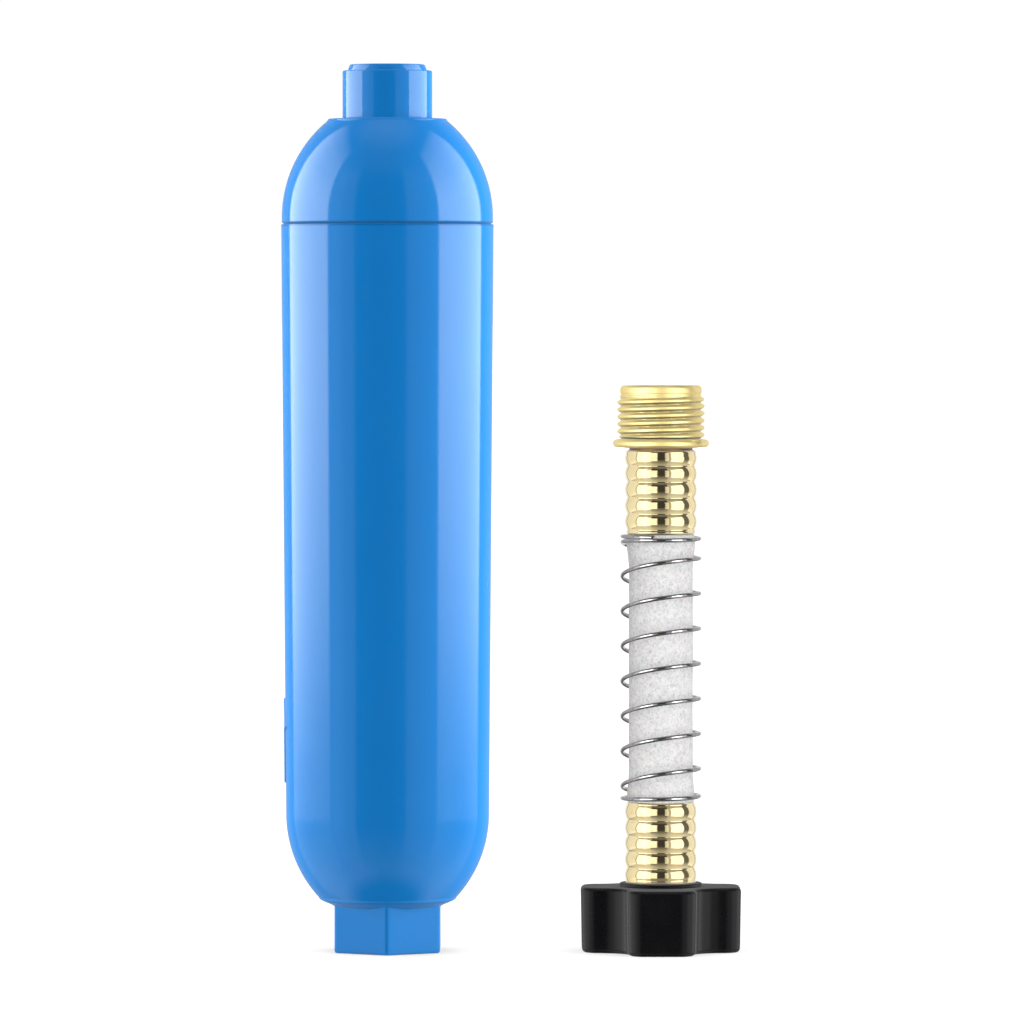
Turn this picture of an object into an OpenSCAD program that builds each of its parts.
// Inline water filter with a loose flexible hose protector.
// Millimetres, +Z up. The origin is on the filter's axis, at its inlet face.
// The filter stands on its inlet with the outlet cap on top. The hose protector
// stands beside it on +X, with its hand nut down and its male fitting up.

/* [Filter housing] */
// Height of the filter over its outlet cap
filter_h = 272.4; // [262:0.2:292]
// Largest radius of the tapered body, at the seam
body_top_r = 32.6; // [31.5:0.05:34]
// Radius of the tapered body where its lower end starts to round in
body_low_r = 31.2; // [30.6:0.02:31.6]
// Wall thickness of the pressure housing
wall = 3.0; // [2.6:0.1:3.4]
// Height of the seam between body and dome
seam_z = 223.4; // [220:0.1:227]
// Visible gap of the seam
seam_gap = 0.45; // [0.3:0.05:0.8]
// Radius of the dome where it meets the seam
dome_r = 32.4; // [31.4:0.05:33.8]
// Radius of the dome's arc
dome_arc_r = 38.3; // [37:0.1:42]
// Outer radius of the dome's flat shoulder
shoulder_r = 18.2; // [16.5:0.1:19]

/* [Inlet end] */
// Width of the hexagonal boss across its flats
hex_af = 32.4; // [32.2:0.1:34]
// Height of the boss before it flares into the body
hex_h = 13.5; // [12.8:0.1:14]
// Width of the raised flow arrow
arrow_w = 13; // [8:0.5:15]
// Height of the raised flow arrow above the wall
arrow_relief = 0.5; // [0.3:0.05:0.8]

/* [Hose thread] */
// Outer radius of the male hose thread
male_r = 13.45; // [13.35:0.01:13.49]
// Root radius of the male hose thread
male_root_r = 12.1; // [12.0:0.01:12.2]
// Crest radius of the female hose thread
female_r = 12.3; // [12.22:0.01:12.38]
// Root radius of the female hose thread
female_root_r = 13.65; // [13.6:0.01:13.7]
// Distance from one thread ridge to the next
thread_pitch = 2.209; // [2.15:0.001:2.25]

/* [Outlet cap] */
// Outer radius of the cap
cap_r = 13.75; // [13.75:0.05:14.4]
// Radius of the small ring on the cap's top
cap_ring_r = 12.0; // [11.4:0.1:12.4]
// Outer radius of the outlet's male thread under the cap
outlet_thread_r = 13.28; // [13.2:0.01:13.3]

/* [Filter media] */
// Thickness of each felt pad
pad_t = 3.6; // [2.5:0.1:5]
// Depth of the copper-zinc granule bed
kdf_h = 26; // [15:1:40]

/* [Hose protector] */
// Distance from the filter's axis to the hose protector's axis
hose_x = 84; // [70:1:120]
// Outer radius of the hose
hose_r = 9.9; // [9.7:0.05:9.95]
// Radius of the hose bore
hose_bore_r = 6.4; // [6.35:0.05:6.6]
// Length of hose that shows between the ferrules
free_hose = 82.4; // [70:0.2:100]
// Outer radius of a ferrule's ribs
ferrule_r = 11.1; // [10.9:0.05:11.15]
// Depth of the grooves between a ferrule's ribs
rib_depth = 0.6; // [0.3:0.05:0.65]
// Distance from one ferrule rib to the next
rib_pitch = 4.9; // [4.2:0.1:5]
// Radius of the bead below the male thread
bead_r = 14.8; // [14:0.05:15.2]

/* [Strain spring] */
// Wire radius of the spring
wire_r = 0.66; // [0.5:0.02:0.7]
// Radius of the coil's centre line
coil_r = 11.9; // [11.86:0.02:12.4]
// Distance from one coil to the next
coil_pitch = 10.7; // [8:0.1:12]

/* [Hand nut] */
// Radius over the nut's lobes
nut_r = 24.6; // [22.5:0.1:26]
// Height of the lobed grip
nut_h = 20; // [19.8:0.1:21.2]
// Width of one lobe
lobe_w = 21.2; // [18:0.2:21.6]
// Radius of the corners of a lobe
lobe_corner = 5.4; // [3:0.1:5.6]
// Radius of the hollow between two lobes
valley_r = 8.4; // [2:0.1:8.4]

/* [Hidden] */
$fn = 96;
gap = 0.05;  // clearance between neighbouring pieces
over = 1;    // how far a cut runs past a face

blue = [0.07, 0.47, 0.80];
brass = [0.86, 0.72, 0.36];
felt = [0.93, 0.93, 0.90];
black = [0.10, 0.10, 0.10];
off_white = [0.95, 0.95, 0.93];

// Radius-height points of an arc, from and to in degrees
function arc_pts(centre_r, centre_z, radius, from, to, steps) =
    [for (i = [0 : steps]) let (a = from + (to - from) * i / steps)
        [centre_r + radius * cos(a), centre_z + radius * sin(a)]];
// Angle and height at which an arc passes radius r
function arc_angle(r, centre_r, radius) = acos((r - centre_r) / radius);
function arc_height(r, centre_r, radius) = sqrt(pow(radius, 2) - pow(r - centre_r, 2));

// Body: boss, flare, rounded lower end, then a straight taper
low_arc_r = 38;
low_centre_r = body_low_r - low_arc_r;
low_z = 42.3;
flare_top_r = 21.2;
flare_low_r = 16.1;
flare_z0 = hex_h - 0.15;
flare_z1 = low_z - arc_height(flare_top_r, low_centre_r, low_arc_r);
function body_r(z) = body_low_r + (body_top_r - body_low_r) * (z - low_z) / (seam_z - low_z);
function core_r(z) = body_r(z) - wall - 0.35;  // media chamber

// Dome, ending in the flat shoulder
dome_lip = 2.1;
dome_centre_r = dome_r - dome_arc_r;
dome_end_r = shoulder_r - 0.4;
shoulder_z = seam_z + dome_lip + arc_height(dome_end_r, dome_centre_r, dome_arc_r) + 0.15;

// Socket at the body's top for the dome's spigot
socket_z = seam_z - 9;
socket_r = body_top_r - 2.75;
spigot_r = socket_r - gap;

// Stack inside the filter, from the inlet up
seat_z = 14.6;
inlet_washer_t = 3.1;
screen_t = 0.4;
screen_z0 = seat_z - gap - screen_t;
ledge_z = 34;
diffuser_z0 = ledge_z + gap;
diffuser_t = 3;
lower_pad_z0 = diffuser_z0 + diffuser_t + gap;
kdf_z0 = lower_pad_z0 + pad_t + gap;
separator_z0 = kdf_z0 + kdf_h + gap;
carbon_z0 = separator_z0 + pad_t + gap;
flange_t = 1.6;
strainer_t = 3.6;
strainer_z0 = socket_z + flange_t - strainer_t;
upper_pad_z0 = strainer_z0 - gap - pad_t;
carbon_z1 = upper_pad_z0 - gap;

// Outlet neck and cap
cap_step_z = filter_h - 1.9;
neck_z = cap_step_z - 1.1;
neck_r = male_root_r - 0.05;

// Hand nut and the parts inside it
insert_r = 15.35;
insert_floor_z = 16.7;
hose_washer_z0 = 11.4;
hose_washer_t = 3.0;
stem_z0 = hose_washer_z0 + hose_washer_t + gap;
collar_z = nut_h + 1.1;

// Hose protector, from the nut up
hose_inset = 1.3;  // from a ferrule's outer end to the hose's end
ferrule_z0 = collar_z + gap;
ferrule_h = 24.8;
hose_z0 = ferrule_z0 + hose_inset;
free_z0 = ferrule_z0 + ferrule_h;
free_z1 = free_z0 + free_hose;
upper_h = 25.6;
upper_z1 = free_z1 + upper_h;
hose_z1 = upper_z1 - hose_inset;
fitting_z0 = upper_z1 + gap;
fitting_z1 = fitting_z0 + 20.0;

// Hose layers, and the stems that reach into them
liner_r = hose_bore_r + 1.1;
braid_r = liner_r + gap + 0.35;
stem_r = hose_bore_r - 0.6;
barb_r = hose_bore_r - gap;
stem_bore_r = 4.6;
stem_collar_r = 8.55;

module disc(z, h, r) { translate([0, 0, z]) cylinder(h = h, r = r); }

// ---- Threads: separate rings of the hose thread's section, spaced by its pitch ----

ridge_count = 5;
groove_count = 4;
crest_half = 0.2;    // half width of a ridge's crest or a groove's floor
foot_half = 0.98;    // half width of a ridge's foot
mouth_half = 0.92;   // half width of a groove's mouth

// Male ridges; z is the middle of the lowest one
module male_ridges(crest_r, root_r, z) {
    buried_r = root_r - 0.6;
    for (i = [0 : ridge_count - 1]) translate([0, 0, z + i * thread_pitch])
        rotate_extrude() polygon([[buried_r, -foot_half], [root_r, -foot_half],
            [crest_r, -crest_half], [crest_r, crest_half],
            [root_r, foot_half], [buried_r, foot_half]]);
}

// Space cut for a female thread, open at z = 0: bore, entry, grooves and recess
module female_thread(floor_z, entry_h, groove_z, recess_z) {
    disc(-over, floor_z + over, female_r);
    disc(-over, entry_h + over, female_root_r + 0.05);
    for (i = [0 : groove_count - 1]) translate([0, 0, groove_z + i * thread_pitch])
        rotate_extrude() polygon([[0, -mouth_half], [female_r, -mouth_half],
            [female_root_r, -crest_half], [female_root_r, crest_half],
            [female_r, mouth_half], [0, mouth_half]]);
    disc(recess_z, floor_z - recess_z, female_root_r);
}

// ---- Filter ----

// Outer outline of the body from the boss flare up to the seam
function body_outline() = concat(
    [for (i = [0 : 10]) let (t = i / 10)
        [flare_low_r + (flare_top_r - flare_low_r) * (1 - cos(180 * t)) / 2,
         flare_z0 + (flare_z1 - flare_z0) * t]],
    arc_pts(low_centre_r, low_z, low_arc_r,
        -arc_angle(flare_top_r, low_centre_r, low_arc_r) + 1.2, 0, 20),
    [[body_top_r - 0.25, seam_z - 0.25], [body_top_r - 0.6, seam_z]]);

// Hexagonal boss with its corners turned round and its lower edge chamfered
module hex_boss() {
    corner_r = hex_af / 2 + 2.3;
    chamfer = 0.85;
    height = hex_h + 5;
    intersection() {
        rotate([0, 0, 30]) cylinder(h = height, r = hex_af / 2 / cos(30), $fn = 6);
        rotate_extrude() polygon([[0, 0], [corner_r - chamfer, 0], [corner_r, chamfer],
            [corner_r, height], [0, height]]);
    }
}

// Raised flow arrow on the -X side, pointing up at the outlet
module flow_arrow() {
    tail_z = 52;
    head_z = 68.6;
    tip_z = 78.4;
    shaft_y = arrow_w * 0.2;
    head_y = arrow_w / 2;
    cone_z0 = 50;
    cone_z1 = 80;
    intersection() {
        translate([0, 0, cone_z0]) cylinder(h = cone_z1 - cone_z0,
            r1 = body_r(cone_z0) + arrow_relief, r2 = body_r(cone_z1) + arrow_relief);
        translate([1.6 - body_low_r, 0, 0]) rotate([0, -90, 0]) linear_extrude(4)
            polygon([[tail_z, -shaft_y], [head_z, -shaft_y], [head_z, -head_y],
                [tip_z, 0], [head_z, head_y], [head_z, shaft_y], [tail_z, shaft_y]]);
    }
}

module housing_body() {
    inlet_bore_r = 10.2;
    color(blue) difference() {
        union() {
            rotate_extrude() polygon(concat([[0, flare_z0]], body_outline(), [[0, seam_z]]));
            hex_boss();
            flow_arrow();
        }
        female_thread(floor_z = seat_z, entry_h = 0.4, groove_z = 1.8, recess_z = 9.6);
        // Water way and plenum
        disc(seat_z - over, 8, inlet_bore_r);
        rotate_extrude() polygon(concat([[0, 20.5], [inlet_bore_r, 20.5]],
            arc_pts(low_centre_r, low_z, low_arc_r - wall - 1.6, -36, -14.5, 8),
            [[26, ledge_z + 0.01], [0, ledge_z + 0.01]]));
        // Media chamber
        rotate_extrude() polygon([[0, ledge_z], [core_r(ledge_z), ledge_z],
            [core_r(socket_z), socket_z], [0, socket_z]]);
        // Socket for the dome's spigot
        disc(socket_z - 0.01, 20, socket_r);
    }
}

module housing_dome() {
    base_z = seam_z + seam_gap;
    outlet_bore_r = 9;
    hollow_z = seam_z + 0.6;
    hollow_arc_r = dome_arc_r - wall - 1.9;
    hollow_angle = arc_angle(outlet_bore_r, dome_centre_r, hollow_arc_r);
    color(blue) difference() {
        union() {
            rotate_extrude() polygon(concat(
                [[0, base_z], [dome_r - 0.6, base_z], [dome_r - 0.15, base_z + 0.3]],
                arc_pts(dome_centre_r, seam_z + dome_lip, dome_arc_r, 0,
                    arc_angle(dome_end_r, dome_centre_r, dome_arc_r) - 1.6, 26),
                [[shoulder_r - 0.7, shoulder_z], [0, shoulder_z]]));
            // Spigot that registers in the body
            disc(socket_z + flange_t + 2 * gap, 10, spigot_r);
            // Outlet neck with its male hose thread
            disc(shoulder_z - 1, neck_z - shoulder_z + 0.2, neck_r);
            rotate_extrude() polygon([[0, neck_z - 1.2], [neck_r, neck_z - 1.2],
                [male_root_r - 0.6, neck_z], [0, neck_z]]);
            male_ridges(outlet_thread_r, neck_r, shoulder_z + 2.0);
        }
        // Water way and the dome's hollow
        disc(socket_z, 10.5, spigot_r - 2.4);
        rotate_extrude() polygon(concat([[0, hollow_z]],
            arc_pts(dome_centre_r, hollow_z, hollow_arc_r, 0, hollow_angle, 16),
            [[0, hollow_z + hollow_arc_r * sin(hollow_angle)]]));
        disc(seam_z, 80, outlet_bore_r);
    }
}

module outlet_cap() {
    base_z = shoulder_z + 0.1;
    top_t = 0.8;
    color(blue) difference() {
        rotate_extrude() polygon([[0, base_z], [cap_r - 0.15, base_z], [cap_r, base_z + 0.3],
            [cap_r, cap_step_z - 0.4], [cap_r - 0.12, cap_step_z - 0.12],
            [cap_r - 0.4, cap_step_z], [cap_ring_r, cap_step_z],
            [cap_ring_r - 0.05, cap_step_z + 0.7], [cap_ring_r - 0.8, filter_h - 0.1],
            [cap_ring_r - 1.1, filter_h], [0, filter_h]]);
        disc(shoulder_z, cap_step_z - top_t - shoulder_z, outlet_thread_r + 0.06);
    }
}

module inlet_washer() {
    color(black) difference() {
        disc(screen_z0 - gap - inlet_washer_t, inlet_washer_t, female_root_r - 0.15);
        cylinder(h = 40, r = 9.8);
    }
}

// A centre hole, then rings of holes: ring k has radius k * step and k * per_row holes
module ring_holes(step, rows, per_row, r, z, h) {
    disc(z, h, r);
    for (k = [1 : rows], i = [0 : k * per_row - 1])
        rotate([0, 0, i * 360 / (k * per_row) + k * 11]) translate([k * step, 0, z])
            cylinder(h = h, r = r, $fn = 24);
}

// Holes shared by the diffuser and the strainer
module plate_holes(z) { ring_holes(step = 5.2, rows = 4, per_row = 5, r = 1.3, z = z, h = 8); }

module inlet_screen() {
    color([0.78, 0.79, 0.80]) difference() {
        disc(screen_z0, screen_t, female_root_r - 0.15);
        ring_holes(step = 2.1, rows = 3, per_row = 6, r = 0.7, z = seat_z - 1, h = 2);
    }
}

module inlet_diffuser() {
    color(off_white) difference() {
        disc(diffuser_z0, diffuser_t, core_r(ledge_z) - gap);
        plate_holes(ledge_z - over);
    }
}

module felt_pad(z) { color(felt) disc(z, pad_t, core_r(z) - gap); }
module lower_felt_pad() { felt_pad(lower_pad_z0); }
module separator_pad() { felt_pad(separator_z0); }
module upper_felt_pad() { felt_pad(upper_pad_z0); }

// Bed that fills the tapered chamber from z0 to z1
module media_bed(z0, z1) {
    translate([0, 0, z0]) cylinder(h = z1 - z0, r1 = core_r(z0) - gap, r2 = core_r(z1) - gap);
}
module kdf_media_bed() { color([0.72, 0.55, 0.28]) media_bed(kdf_z0, kdf_z0 + kdf_h); }
module carbon_bed() { color([0.08, 0.08, 0.08]) media_bed(carbon_z0, carbon_z1); }

module outlet_strainer() {
    color(off_white) difference() {
        union() {
            disc(strainer_z0, strainer_t - 1.0, core_r(strainer_z0) - gap);
            // Flange trapped between the body's step and the dome's spigot
            disc(socket_z + gap, flange_t, socket_r - 0.2);
        }
        plate_holes(strainer_z0 - over);
    }
}

// ---- Hose protector, on its own axis ----

module on_hose() { translate([hose_x, 0, 0]) children(); }

// Two opposite lobes: a bar along X with round corners
module lobe_bar() {
    corner_x = nut_r - lobe_corner;
    corner_y = lobe_w / 2 - lobe_corner;
    translate([-corner_x, -lobe_w / 2, 0]) cube([2 * corner_x, lobe_w, nut_h]);
    translate([-nut_r, -corner_y, 0]) cube([2 * nut_r, 2 * corner_y, nut_h]);
    for (x = [-corner_x, corner_x], y = [-corner_y, corner_y])
        translate([x, y, 0]) cylinder(h = nut_h, r = lobe_corner);
}

// Square core with a round hollow at each corner, between the lobes
module valley_core() {
    valley = lobe_w / 2 + valley_r;
    difference() {
        translate([-valley, -valley, 0]) cube([2 * valley, 2 * valley, nut_h]);
        for (x = [-valley, valley], y = [-valley, valley])
            translate([x, y, -over]) cylinder(h = nut_h + 2 * over, r = valley_r);
    }
}

module nut_grip() {
    edge_r = 1.35;
    bore_r = insert_r + gap;
    collar_r = 12.7;
    on_hose() color([0.06, 0.06, 0.07]) difference() {
        union() {
            intersection() {
                union() {
                    lobe_bar();
                    rotate([0, 0, 90]) lobe_bar();
                    valley_core();
                }
                // Envelope with rounded lower and upper edges
                rotate_extrude() polygon(concat([[0, 0], [nut_r - edge_r, 0]],
                    arc_pts(nut_r - edge_r, edge_r, edge_r, -90, 0, 5),
                    arc_pts(nut_r - edge_r, nut_h - edge_r, edge_r, 0, 90, 5), [[0, nut_h]]));
            }
            // Raised collar
            rotate_extrude() polygon([[0, 1], [collar_r, 1], [collar_r, collar_z - 0.4],
                [collar_r - 0.4, collar_z], [0, collar_z]]);
        }
        disc(-over, nut_h - 0.1, bore_r);
        cylinder(h = 60, r = 8.9);
        // Chamfer at the mouth
        translate([0, 0, -0.01]) cylinder(h = 0.7, r1 = bore_r + 0.7, r2 = bore_r);
    }
}

module nut_insert() {
    on_hose() color(brass) difference() {
        disc(0.5, nut_h - 1.7, insert_r);
        female_thread(floor_z = insert_floor_z, entry_h = 1.2, groove_z = 2.4, recess_z = 10.2);
        cylinder(h = 60, r = 9.7);
    }
}

module hose_washer() {
    on_hose() color(black) difference() {
        disc(hose_washer_z0, hose_washer_t, female_root_r - 0.45);
        cylinder(h = 40, r = 6.4);
    }
}

// Five barbs that grip the hose bore, with the wide end of each down or up
module barbs(z, wide_down) {
    for (i = [0 : 4]) translate([0, 0, z + i * 3.4])
        cylinder(h = 2.6, r1 = wide_down ? barb_r : stem_r, r2 = wide_down ? stem_r : barb_r);
}

module lower_stem() {
    on_hose() color(brass) difference() {
        union() {
            // Flange held under the insert's floor
            disc(stem_z0, insert_floor_z - gap - stem_z0, 12.1);
            disc(stem_z0, ferrule_z0 + 1.0 - stem_z0, stem_collar_r);
            disc(stem_z0, free_z0 - 2 - stem_z0, stem_r);
            barbs(hose_z0 + 1.5, wide_down = true);
        }
        cylinder(h = 80, r = stem_bore_r);
    }
}

// Crimp sleeve with round ribs, its closed end at z = 0
module ferrule(h) {
    steps = 60;
    end_h = 0.4;
    end_r = ferrule_r - 0.5;
    rib_z = 2.0;  // middle of the first rib
    difference() {
        rotate_extrude() polygon(concat([[0, 0], [end_r, 0]],
            [for (i = [0 : steps]) let (z = h * i / steps) if (z > end_h && z < h - end_h)
                [ferrule_r - rib_depth * (1 - cos(360 * (z - rib_z) / rib_pitch)) / 2, z]],
            [[end_r, h], [0, h]]));
        disc(1.2, h, hose_r + gap);
        disc(-over, 3, stem_collar_r + gap);
    }
}

module lower_ferrule() {
    on_hose() color(brass) translate([0, 0, ferrule_z0]) ferrule(ferrule_h);
}
module upper_ferrule() {
    on_hose() color(brass) translate([0, 0, upper_z1]) mirror([0, 0, 1]) ferrule(upper_h);
}

// Cut along the whole hose
module hose_cut(r) { disc(hose_z0 - over, hose_z1 - hose_z0 + 2 * over, r); }
module hose_layer(inner_r, outer_r) {
    difference() {
        disc(hose_z0, hose_z1 - hose_z0, outer_r);
        hose_cut(inner_r);
    }
}
module hose_liner() { on_hose() color([0.90, 0.92, 0.92]) hose_layer(hose_bore_r, liner_r); }
module hose_braid() { on_hose() color([0.96, 0.96, 0.96]) hose_layer(liner_r + gap, braid_r); }

// Share of the bulge at t, from 0 at the ferrule to 1 where the swelling ends
function swell(t) = pow(sin(180 * min(1, 0.18 + 0.82 * t)), 1.2) * (1 - t);

// Outer wall, swelling slightly where it leaves each ferrule
module hose_cover() {
    lower_bulge = 0.75;
    upper_bulge = lower_bulge * 1.35;
    swell_z0 = free_z0 + 0.1;
    swell_z1 = free_z1 - 0.1;
    on_hose() color([0.93, 0.93, 0.93, 0.9]) difference() {
        rotate_extrude() polygon(concat([[0, hose_z0], [hose_r, hose_z0], [hose_r, swell_z0]],
            [for (i = [0 : 10]) let (t = i / 10)
                [hose_r + lower_bulge * swell(t), swell_z0 + t * 9]],
            [for (i = [10 : -1 : 0]) let (t = i / 10)
                [hose_r + upper_bulge * swell(t), swell_z1 - t * 11]],
            [[hose_r, swell_z1], [hose_r, hose_z1], [0, hose_z1]]));
        hose_cut(braid_r + gap);
    }
}

// Round wire swept along a coil with one closed turn at each end
module strain_spring() {
    start_z = free_z0 + wire_r + 0.1;
    end_z = free_z1 - wire_r - 0.1;
    closed = 1.0;
    closed_rise = 2.05 * wire_r;  // rise of one closed turn
    open_h = end_z - start_z - 2 * closed_rise * closed;
    open_turns = floor(open_h / coil_pitch * 4) / 4;
    turns = open_turns + 2 * closed;
    turn_steps = 26;
    sides = 8;
    steps = round(turns * turn_steps);
    // Height of the wire's centre after a number of turns
    function lift(turn) = turn < closed ? start_z + closed_rise * turn
        : turn > turns - closed ? end_z - closed_rise * (turns - turn)
        : start_z + closed_rise * closed + open_h * (turn - closed) / open_turns;
    points = [for (i = [0 : steps], k = [0 : sides - 1])
        let (turn = min(i / turn_steps, turns), a = 360 * turn + 90, b = 360 * k / sides,
            r = coil_r + wire_r * cos(b))
        [r * cos(a), r * sin(a), lift(turn) + wire_r * sin(b)]];
    tube = [for (i = [0 : steps - 1], k = [0 : sides - 1]) let (next = (k + 1) % sides)
        [i * sides + k, (i + 1) * sides + k, (i + 1) * sides + next, i * sides + next]];
    ends = [[for (k = [0 : sides - 1]) k],
        [for (k = [sides - 1 : -1 : 0]) steps * sides + k]];
    on_hose() color([0.62, 0.63, 0.65])
        polyhedron(points = points, faces = concat(tube, ends), convexity = 12);
}

module male_fitting() {
    neck_r = 10.3;
    bead_z = fitting_z0 + 2.2;
    bead_edge_r = 1.2;
    bead_top_z = bead_z + 1.4;
    tip_r = 12.4;
    on_hose() color(brass) difference() {
        union() {
            // Neck and bead
            rotate_extrude() polygon(concat([[0, fitting_z0], [neck_r, fitting_z0],
                [neck_r, fitting_z0 + 0.5], [12.2, fitting_z0 + 0.9]],
                arc_pts(bead_r - bead_edge_r, bead_z, bead_edge_r, -60, 60, 6),
                [[male_root_r, bead_top_z], [0, bead_top_z]]));
            // Threaded barrel with its lead-in
            rotate_extrude() polygon([[0, bead_z], [male_root_r, bead_z],
                [male_root_r, fitting_z1 - 4.2], [tip_r, fitting_z1 - 3.9],
                [tip_r, fitting_z1 - 1.2], [12.1, fitting_z1 - 0.4],
                [11.5, fitting_z1], [0, fitting_z1]]);
            male_ridges(male_r, male_root_r, fitting_z1 - 5.0 - (ridge_count - 1) * thread_pitch);
            // Barbed stem inside the hose
            disc(free_z1 + 2, fitting_z0 - free_z1, stem_r);
            disc(upper_z1 - 1.25, 2, stem_collar_r);
            barbs(free_z1 + 3.5, wide_down = false);
        }
        disc(free_z1, 80, stem_bore_r);
        disc(fitting_z0 + 4, 40, 8.8);
    }
}

housing_body();
housing_dome();
outlet_cap();
inlet_washer();
inlet_screen();
inlet_diffuser();
lower_felt_pad();
kdf_media_bed();
separator_pad();
carbon_bed();
upper_felt_pad();
outlet_strainer();
nut_grip();
nut_insert();
hose_washer();
lower_stem();
lower_ferrule();
hose_liner();
hose_braid();
hose_cover();
strain_spring();
upper_ferrule();
male_fitting();
